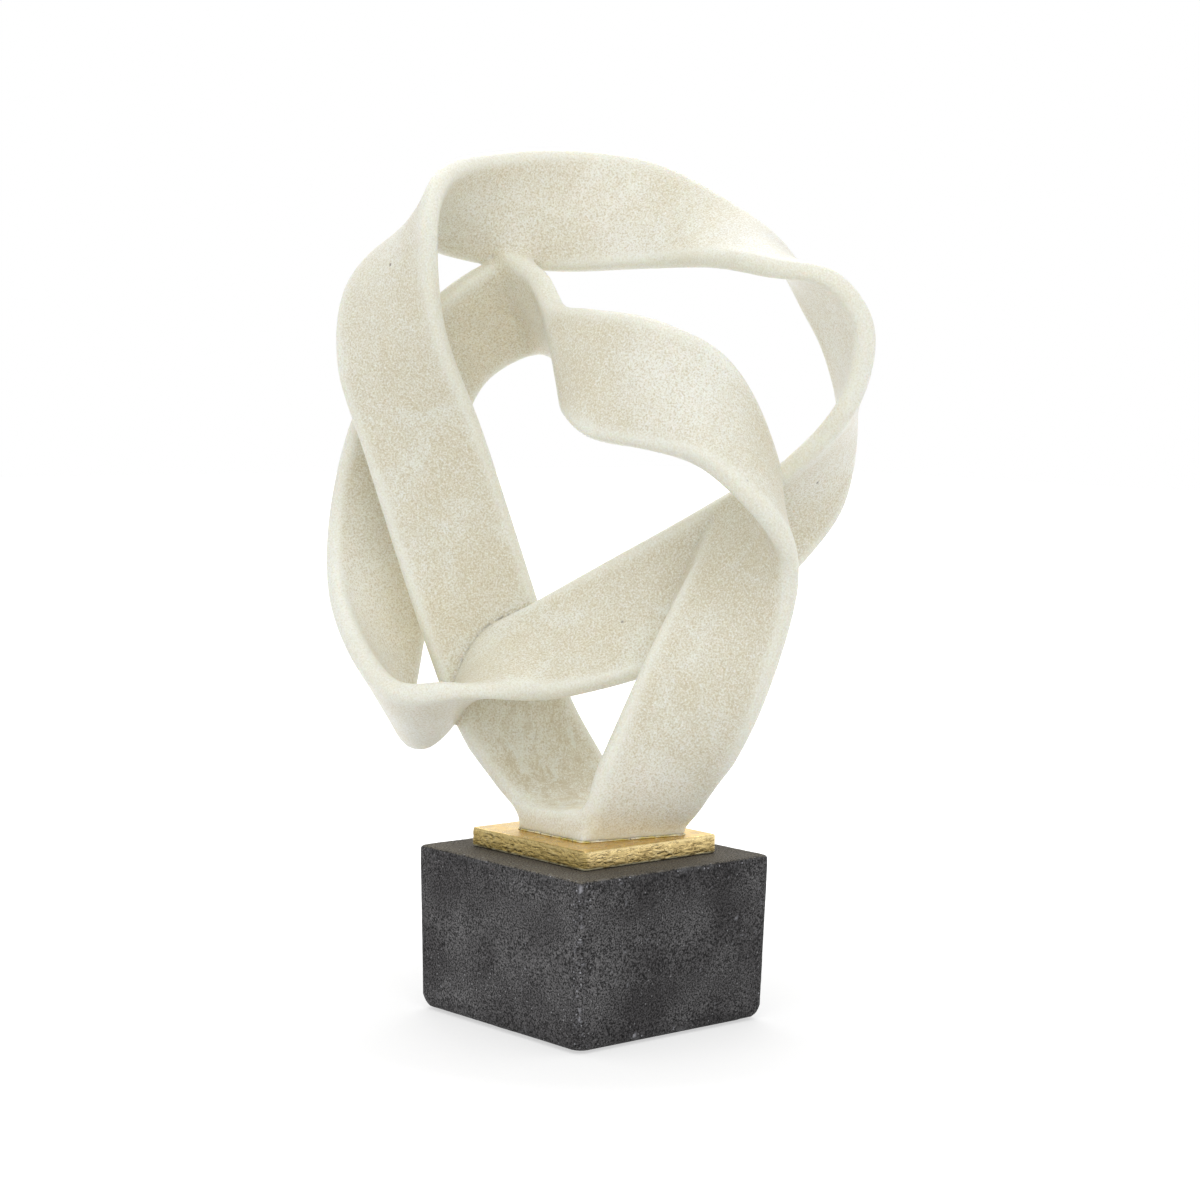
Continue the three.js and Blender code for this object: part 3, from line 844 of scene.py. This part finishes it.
def quartz_material():
    material, tree, shader = new_material("quartz")
    place = place_in(tree)
    drift = clouds(tree, place, *QUARTZ_DRIFT)
    mottle = clouds(tree, place, *QUARTZ_MOTTLE)
    veil = clouds(tree, place, *QUARTZ_VEIL)
    grain = clouds(tree, place, *QUARTZ_GRAIN)
    crumb, crumb_chance = cells(tree, place, QUARTZ_CRUMB)
    hollow, rim = stored(tree, "hollow"), stored(tree, "rim")

    # cream and ivory, with pale veils, and broad patches of painted light and shade
    warm = maths(tree, "ADD", times(tree, drift, 0.5), times(tree, mottle, 0.5))
    colour = mixed(tree, fade(tree, warm, 0.40, 0.60), CREAM, IVORY)
    colour = layer(tree, colour, VEIL, fade(tree, veil, 0.50, 0.62), share=0.6)
    for middle, reach, share, tone in TONES_AND_PAINTED_LIGHT:
        patch = times(tree, around(tree, place, middle, reach, PATCH_CORE), share)
        colour = layer(tree, colour, tone, patch, span(tree, veil, 0.35, 0.60, 0.6, 1.2))
    # darker and browner in the hollows
    colour = layer(tree, colour, TAN, fade(tree, hollow, 0.02, 0.12), share=0.35)

    # the grain, brown in its pits and white on its crystals
    colour = layer(tree, colour, TAN, fade(tree, grain, 0.50, 0.32), share=0.75)
    colour = layer(tree, colour, FLECK, fade(tree, grain, 0.50, 0.70), share=0.75)
    white, brown = fade(tree, crumb_chance[0], 0.50, 0.80), fade(tree, crumb_chance[1], 0.55, 0.90)
    colour = layer(tree, colour, FLECK, fade(tree, crumb, 0.42, 0.15), white, share=0.7)
    colour = layer(tree, colour, TAN, fade(tree, crumb, 0.45, 0.20), brown, share=0.35)
    # painted highlight: the rounded rims are whitened
    colour = layer(tree, colour, RIM_HIGHLIGHT, fade(tree, rim, -0.005, -0.080), share=0.5)

    # the trough over the foot is streaked where the stone ran down, and darker between
    streaks = clouds(tree, place_in(tree, UPRIGHT), *QUARTZ_STREAKS)
    trough = times(tree, around(tree, place, TROUGH_PLACE, TROUGH_REACH, TROUGH_CORE),
                   fade(tree, rim, -0.02, 0.01))
    colour = layer(tree, colour, TAN, trough, fade(tree, streaks, 0.50, 0.38), share=0.6)
    colour = layer(tree, colour, VEIL, trough, fade(tree, streaks, 0.56, 0.66), share=0.6)

    # a few dark specks, far apart
    speck, speck_chance = cells(tree, place, QUARTZ_SPECKS)
    rare = fade(tree, speck_chance[2], 0.70, 0.72)
    colour = layer(tree, colour, SPECK, fade(tree, speck, 0.045, 0.020), rare, share=0.8)

    # dust in the seam where the cross arm lies on the left arm
    seam = fade(tree, stored(tree, "seam"), 0.16, 0.40)
    beside = around(tree, place, SEAM_PLACE, SEAM_REACH, SEAM_CORE)
    broken = fade(tree, clouds(tree, place, *SEAM_GAPS), 0.44, 0.60)
    colour = layer(tree, colour, SEAM_DIRT, seam, beside, broken, share=0.9)

    fine = bump(tree, grain, 0.0005, strength=0.30)
    soft = bump(tree, mottle, 0.0014, strength=0.25, under=fine)
    glint = bump(tree, crumb, 0.0006, strength=0.45, under=fine)
    set_shader(tree, shader, Base_Color=colour, Normal=soft)
    set_shader(tree, shader, Roughness=span(tree, grain, 0.3, 0.7, 0.60, 0.45))
    set_shader(tree, shader, Subsurface_Weight=0.6, Subsurface_Scale=0.008)
    set_shader(tree, shader, Subsurface_Radius=(1.0, 0.82, 0.52))
    set_shader(tree, shader, Coat_Weight=0.5, Coat_Roughness=0.28, Coat_Normal=glint)
    return material


# Gold leaf: bright where it lies flat, with painted shade in its creases, painted highlights and a
# painted reflection of the dark stone on the sides, and a dull lower edge

LEAF = (0.850, 0.610, 0.210)
LEAF_BROWN = (0.700, 0.465, 0.140)
LEAF_FOLD_SHADE = (0.160, 0.095, 0.020)
LEAF_PALE_AND_HIGHLIGHT = (0.850, 0.720, 0.420)
LEAF_SHADE_AND_REFLECTION = (0.260, 0.190, 0.045)
SIZE_EDGE = (0.620, 0.600, 0.420)
LEAF_LEFT, LEAF_LEFT_FADE = -0.048, 0.002  # x of the plate's left side, in metres
GOLD_WRINKLES = 0.0016, 4.0, 0.6
GOLD_BLOTCHES = 0.007, 3.0, 0.6
GOLD_RAGS = 0.006
WRINKLE_STRETCH = (0.3, 0.3, 1)


def gold_material():
    material, tree, shader = new_material("gold")
    place = place_in(tree)
    wrinkles = clouds(tree, place_in(tree, WRINKLE_STRETCH), *GOLD_WRINKLES)
    blotch = clouds(tree, place, *GOLD_BLOTCHES)
    hollow, side, up = (stored(tree, name) for name in ("hollow", "side", "up"))
    colour = mixed(tree, fade(tree, blotch, 0.35, 0.65), LEAF, LEAF_BROWN)
    colour = layer(tree, colour, LEAF_PALE_AND_HIGHLIGHT, side, share=0.45)

    # painted shade in the folds, painted highlights on the crests, and thin creases of painted
    # shade that come and go
    colour = layer(tree, colour, LEAF_FOLD_SHADE, fade(tree, hollow, 0.04, 0.24), side, share=0.8)
    colour = layer(tree, colour, LEAF_PALE_AND_HIGHLIGHT, fade(tree, hollow, -0.08, -0.20), side, share=0.6)
    off_crease = maths(tree, "ABSOLUTE", maths(tree, "SUBTRACT", wrinkles, 0.5))
    crease_shade = times(tree, fade(tree, off_crease, 0.035, 0.010), fade(tree, blotch, 0.42, 0.52))
    colour = layer(tree, colour, LEAF_FOLD_SHADE, crease_shade, span(tree, side, 0.0, 1.0, 0.05, 0.85))

    # painted highlight along the top of the sides, and a painted reflection of the dark stone
    # towards their bottom
    colour = layer(tree, colour, LEAF_PALE_AND_HIGHLIGHT, side, fade(tree, up, 0.70, 0.98), share=0.5)
    colour = layer(tree, colour, LEAF_SHADE_AND_REFLECTION, side, fade(tree, up, 0.50, 0.10), share=0.45)

    # painted shade: the left side is darker and duller than the right one
    left = fade(tree, axes_of(tree, place)[0], LEAF_LEFT + LEAF_LEFT_FADE, LEAF_LEFT)
    colour = layer(tree, colour, LEAF_SHADE_AND_REFLECTION, side, left, share=0.60)

    # the pale edge of the size that the leaf was laid on
    ragged = fade(tree, clouds(tree, place, GOLD_RAGS), 0.3, 0.5)
    edge = times(tree, fade(tree, up, 0.13, 0.07), ragged)
    colour = layer(tree, colour, SIZE_EDGE, edge, share=0.8)

    normal = bump(tree, wrinkles, 0.0007, strength=span(tree, side, 0.0, 1.0, 0.35, 0.9))
    set_shader(tree, shader, Base_Color=colour, Normal=normal)
    set_shader(tree, shader, Metallic=span(tree, edge, 0.0, 1.0, 1.0, 0.1))
    set_shader(tree, shader, Roughness=span(tree, wrinkles, 0.35, 0.65, 0.20, 0.38))
    return material


# Stone: dark and matt, with a coarse speckle, white flecks, and dust on its top

STONE_DARK = (0.038, 0.036, 0.037)
STONE_LIGHT = (0.080, 0.078, 0.079)
STONE_RIM = (0.022, 0.021, 0.022)
STONE_SAND = (0.360, 0.360, 0.370)
STONE_DUST = (0.132, 0.115, 0.086)
STONE_WORN = (0.240, 0.240, 0.250)
STONE_CHIP = (0.480, 0.480, 0.520)
STONE_GRAIN = 0.0010, 3.0, 0.8
STONE_MOTTLE = 0.040, 4.0, 0.6
STONE_SCUFFS = 0.009, 5.0, 0.7
SAND_CELLS = 0.0015
FLECK_CELLS = 0.0018
BORDER_END, BORDER_FULL = 11.0, 3.0  # mm in from the nearest edge
SHADE_END, SHADE_FULL = -0.068, -0.050  # x in metres: painted shade darkens the stone beyond the left face
STONE_PAINTED_SHADE = 0.76  # how bright the painted shade leaves the stone elsewhere
FRONT_END, FRONT_FULL = -0.130, -0.138  # x + y in metres, towards the worn front edge


def stone_material():
    material, tree, shader = new_material("stone")
    place = place_in(tree)
    grain = clouds(tree, place, *STONE_GRAIN)
    mottle = clouds(tree, place, *STONE_MOTTLE)
    scuffs = clouds(tree, place, *STONE_SCUFFS)
    sand, sand_chance = cells(tree, place, SAND_CELLS)
    bits, bits_chance = cells(tree, place, FLECK_CELLS)
    chip, ridge, inset = (stored(tree, name) for name in ("chip", "ridge", "inset"))
    along_x, along_y, _ = axes_of(tree, place)
    outward = add(tree, "ShaderNodeNewGeometry").outputs["Normal"]
    up = fade(tree, axes_of(tree, outward)[2], 0.5, 0.95)

    # mottled, darker along the edges and dusty on top
    colour = mixed(tree, fade(tree, mottle, 0.40, 0.64), STONE_DARK, STONE_LIGHT)
    border = times(tree, fade(tree, inset, BORDER_END, BORDER_FULL),
                   fade(tree, scuffs, 0.35, 0.55))
    colour = layer(tree, colour, STONE_RIM, border, share=0.6)
    colour = layer(tree, colour, STONE_DUST, up, span(tree, scuffs, 0.3, 0.7, 0.5, 0.8))

    # a coarse speckle, and grains of pale sand
    depth = span(tree, up, 0.0, 1.0, 1.0, 0.7)
    speckle = times(tree, span(tree, grain, 0.42, 0.60, -1.00, 1.60), depth)
    colour = shaded(tree, colour, maths(tree, "ADD", speckle, 1.0))
    pale = fade(tree, sand_chance[0], 0.92, 0.98)
    colour = layer(tree, colour, STONE_SAND, fade(tree, sand, 0.36, 0.16), pale, share=0.9)
    # painted shade: the stone is darker beyond the left face
    colour = shaded(tree, colour, span(tree, along_x, SHADE_END, SHADE_FULL, 1.0, STONE_PAINTED_SHADE))

    # white flecks, most of them by the worn front edge
    front = fade(tree, maths(tree, "ADD", along_x, along_y), FRONT_END, FRONT_FULL)
    chance = maths(tree, "ADD", bits_chance[1], times(tree, front, 0.30))
    flecks = times(tree, fade(tree, bits, 0.34, 0.14), fade(tree, chance, 0.90, 0.97))
    edges = maths(tree, "MAXIMUM", front, ridge)
    colour = layer(tree, colour, STONE_CHIP, flecks, edges, share=0.9)

    # worn ridges and fresh chips
    colour = layer(tree, colour, STONE_WORN, ridge, fade(tree, scuffs, 0.52, 0.68), share=0.35)
    colour = layer(tree, colour, STONE_CHIP, chip, share=0.7)

    fine = bump(tree, grain, 0.0005, strength=0.5)
    normal = bump(tree, scuffs, 0.001, strength=0.2, under=fine)
    set_shader(tree, shader, Base_Color=colour, Normal=normal, Specular_IOR_Level=0.3)
    set_shader(tree, shader, Roughness=span(tree, grain, 0.3, 0.7, 0.95, 0.75))
    return material


GLUE_LIME = (0.62, 0.54, 0.17)
GLUE_PALE = (0.80, 0.77, 0.62)
GLUE_DIRT = (0.10, 0.08, 0.05)
GLUE_PATCHES = 0.006, 3.0
GLUE_CRUMBS = 0.003, 4.0
GLUE_GRAIN = 0.0012, 3.0


def glue_material():
    material, tree, shader = new_material("glue")
    place = place_in(tree)
    patches = clouds(tree, place, *GLUE_PATCHES)
    colour = mixed(tree, fade(tree, patches, 0.40, 0.60), GLUE_LIME, GLUE_PALE)
    crumbs = fade(tree, clouds(tree, place, *GLUE_CRUMBS), 0.58, 0.66)
    colour = mixed(tree, crumbs, colour, GLUE_DIRT)
    normal = bump(tree, clouds(tree, place, *GLUE_GRAIN), 0.0004, strength=0.5)
    set_shader(tree, shader, Base_Color=colour, Normal=normal)
    set_shader(tree, shader, Roughness=span(tree, patches, 0.3, 0.7, 0.35, 0.60))
    return material


FELT_DARK = (0.010, 0.010, 0.010)
FELT_LIGHT = (0.035, 0.035, 0.037)
FELT_FIBRES = 0.0009, 5.0, 0.75, 1.5


def felt_material():
    material, tree, shader = new_material("felt")
    fibres = clouds(tree, place_in(tree), *FELT_FIBRES)
    colour = mixed(tree, fade(tree, fibres, 0.3, 0.7), FELT_DARK, FELT_LIGHT)
    normal = bump(tree, fibres, 0.0006, strength=0.8)
    set_shader(tree, shader, Base_Color=colour, Normal=normal)
    set_shader(tree, shader, Roughness=span(tree, fibres, 0.3, 0.7, 1.0, 0.85))
    set_shader(tree, shader, Sheen_Weight=0.3, Specular_IOR_Level=0.1)
    return material


ZINC_LIGHT = (0.60, 0.61, 0.63)
ZINC_DARK = (0.46, 0.47, 0.50)
ZINC_STAIN = (0.50, 0.47, 0.40)
ZINC_SPANGLE = 0.0025
ZINC_HAZE = 0.004, 4.0
STEEL_BRUSHING = 0.0010, 3.0
BRUSHED_ROUND = (1, 1, 12)


def steel_material():
    material, tree, shader = new_material("steel")
    place = place_in(tree)
    spangle, spangle_chance = cells(tree, place, ZINC_SPANGLE)
    haze = clouds(tree, place, *ZINC_HAZE)
    brushed = clouds(tree, place_in(tree, BRUSHED_ROUND), *STEEL_BRUSHING)
    tint = times(tree, spangle_chance[0], span(tree, spangle, 0.2, 0.6, 0.5, 0.3))
    colour = mixed(tree, tint, ZINC_LIGHT, ZINC_DARK)
    colour = mixed(tree, fade(tree, haze, 0.55, 0.75), colour, ZINC_STAIN)
    set_shader(tree, shader, Base_Color=colour, Normal=bump(tree, brushed, 0.0002, strength=0.4))
    set_shader(tree, shader, Roughness=span(tree, haze, 0.3, 0.7, 0.28, 0.48), Metallic=1.0)
    return material


def paint(obj, material):
    obj.data.materials.clear()
    obj.data.materials.append(material)


# The pieces

loop = cast_loop()
paint(loop, quartz_material())
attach(loop, "root")
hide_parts("quartz_loop")

leaf = gilded_plate()
paint(leaf, gold_material())
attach(leaf, "root")
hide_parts("gilded_plate")

block = stone_block()
paint(block, stone_material())
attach(block, "root")
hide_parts("base_block")

glue = glue_line()
paint(glue, glue_material())
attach(glue, "root")

# the felt and the fixings are the part's own solids
felt, steel = felt_material(), steel_material()
for name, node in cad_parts.items():
    paint(node, felt if name == "base_felt" else steel)


# Camera

def place_camera():
    azimuth, elevation = math.radians(CAMERA_AZIMUTH), math.radians(CAMERA_ELEVATION)
    back = Vector((
        math.sin(azimuth) * math.cos(elevation),
        -math.cos(azimuth) * math.cos(elevation),
        math.sin(elevation),
    ))
    right = Vector((math.cos(azimuth), math.sin(azimuth), 0))
    aim = right * AIM_RIGHT + Vector((0, 0, AIM_HEIGHT))
    data = bpy.data.cameras.new("camera")
    data.lens = CAMERA_LENS
    camera = new_object("camera", data)
    turn = (-back).to_track_quat("-Z", "Y").to_matrix()
    roll = Matrix.Rotation(math.radians(CAMERA_ROLL), 3, "Z")
    camera.matrix_world = Matrix.Translation(aim + back * CAMERA_DISTANCE) @ (turn @ roll).to_4x4()
    bpy.context.scene.camera = camera


# Stage, in metres and watts

FLOOR_REACH = 6.0
SHADOW_WITHIN = 0.15
WHITE_BEYOND = 0.45
FLOOR_DIFFUSE = 0.45
FLOOR_BOUNCE = 0.33
WORLD_LIGHT = 0.92
LIGHTS = [
    # name, place, side, watts
    ("high_back", (1.1, 1.3, 1.95), 1.6, 15.0),
    ("high_front", (-1.0, -1.15, 2.1), 1.6, 10.0),
]
LIGHT_AIM = (0, 0, 0.25)


def seen(tree):
    """1 for what the camera, a gloss or a pane of glass sees, 0 for the light that things cast."""
    path = add(tree, "ShaderNodeLightPath").outputs
    total = maths(tree, "ADD", path["Is Camera Ray"], path["Is Glossy Ray"])
    return maths(tree, "MINIMUM", maths(tree, "ADD", total, path["Is Transmission Ray"]), 1.0)


def floor_material():
    """White paper: round the object it takes the shadow, and further off it is plain white."""
    material, tree, shader = new_material("paper")
    away = add(tree, "ShaderNodeVectorMath", {0: place_in(tree)}, operation="LENGTH")
    far = fade(tree, away.outputs["Value"], SHADOW_WITHIN, WHITE_BEYOND)
    white = span(tree, far, 0.0, 1.0, 1 - FLOOR_DIFFUSE, 1.0)
    glow = maths(tree, "MAXIMUM", times(tree, white, seen(tree)), FLOOR_BOUNCE)
    grey = (FLOOR_DIFFUSE, FLOOR_DIFFUSE, FLOOR_DIFFUSE, 1)
    set_shader(tree, shader, Base_Color=grey, Roughness=0.9, Specular_IOR_Level=0.0)
    set_shader(tree, shader, Emission_Color=(1, 1, 1, 1), Emission_Strength=glow)
    return material


def make_floor():
    mesh = bpy.data.meshes.new("floor")
    reach = FLOOR_REACH
    corners = [(-reach, -reach, 0), (reach, -reach, 0), (reach, reach, 0), (-reach, reach, 0)]
    mesh.from_pydata(corners, [], [(0, 1, 2, 3)])
    floor = new_object("floor", mesh)
    paint(floor, floor_material())


def add_light(name, place, side, watts):
    """A square light that shines at the middle of the object."""
    data = bpy.data.lights.new(name, "AREA")
    data.size = side
    data.energy = watts
    light = new_object(name, data)
    light.location = place
    light.rotation_mode = "QUATERNION"
    light.rotation_quaternion = (Vector(LIGHT_AIM) - Vector(place)).to_track_quat("-Z", "Y")


def light_world():
    """A white room: white to look at, and softer as a light."""
    world = bpy.data.worlds.new("studio")
    bpy.context.scene.world = world
    world.use_nodes = True
    tree = world.node_tree
    strength = span(tree, seen(tree), 0.0, 1.0, WORLD_LIGHT, 1.0)
    background = tree.nodes["Background"]
    background.inputs["Color"].default_value = (1, 1, 1, 1)
    tree.links.new(strength, background.inputs["Strength"])


place_camera()
make_floor()
light_world()
for light in LIGHTS:
    add_light(*light)
bpy.context.scene.view_settings.view_transform = "Standard"
